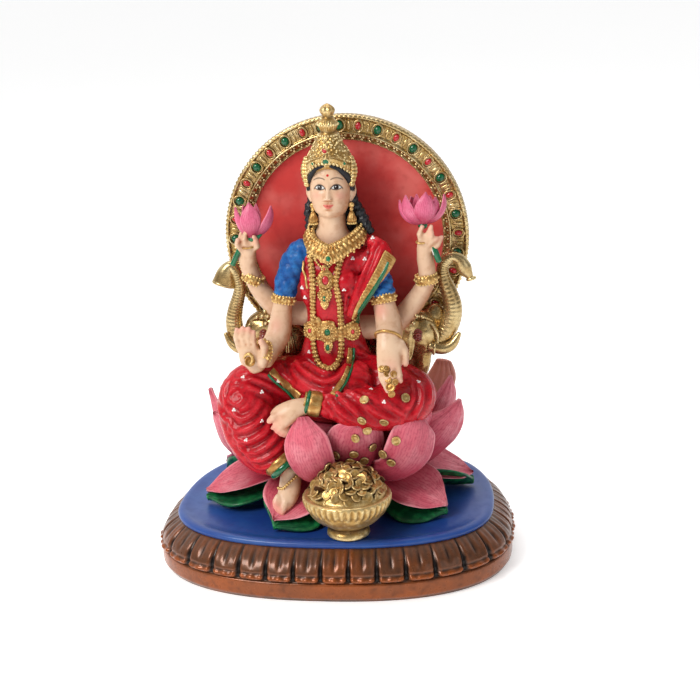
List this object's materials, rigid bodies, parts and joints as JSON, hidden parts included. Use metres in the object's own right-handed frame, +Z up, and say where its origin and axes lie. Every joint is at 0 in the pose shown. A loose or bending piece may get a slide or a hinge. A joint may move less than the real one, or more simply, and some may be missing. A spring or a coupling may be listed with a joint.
{
  "type": "lakshmi figure",
  "caption": "Seated goddess with four arms on an open lotus, with a round jewelled halo, elephants and a pot of coins, on a D-shaped plinth.",
  "frame": {"origin": "middle of the plinth's underside", "axes": "+Z up, the figure looks along -Y, +X is on the right of the figure as it is seen from the front"},
  "size_m": [0.1542, 0.1031, 0.1936],
  "materials": {
    "plinth_paint": "painted resin: a blue deck over a brown rim of leaves with lighter copper edges",
    "lotus_paint": "painted resin: pink petals with darker veins over green sepals",
    "figure_paint": "painted resin: pale skin, a red sari, blue sleeves, black hair and gold jewels",
    "gold_paint": "gold painted resin, with a coral panel and red and green stones on the halo"
  },
  "bodies": {
    "root": {"plinth": "plinth_paint", "lotus_seat": "lotus_paint", "goddess": "figure_paint", "halo": "gold_paint", "elephant_left": "gold_paint", "elephant_right": "gold_paint", "coin_pot": "gold_paint"}
  },
  "joints": []
}
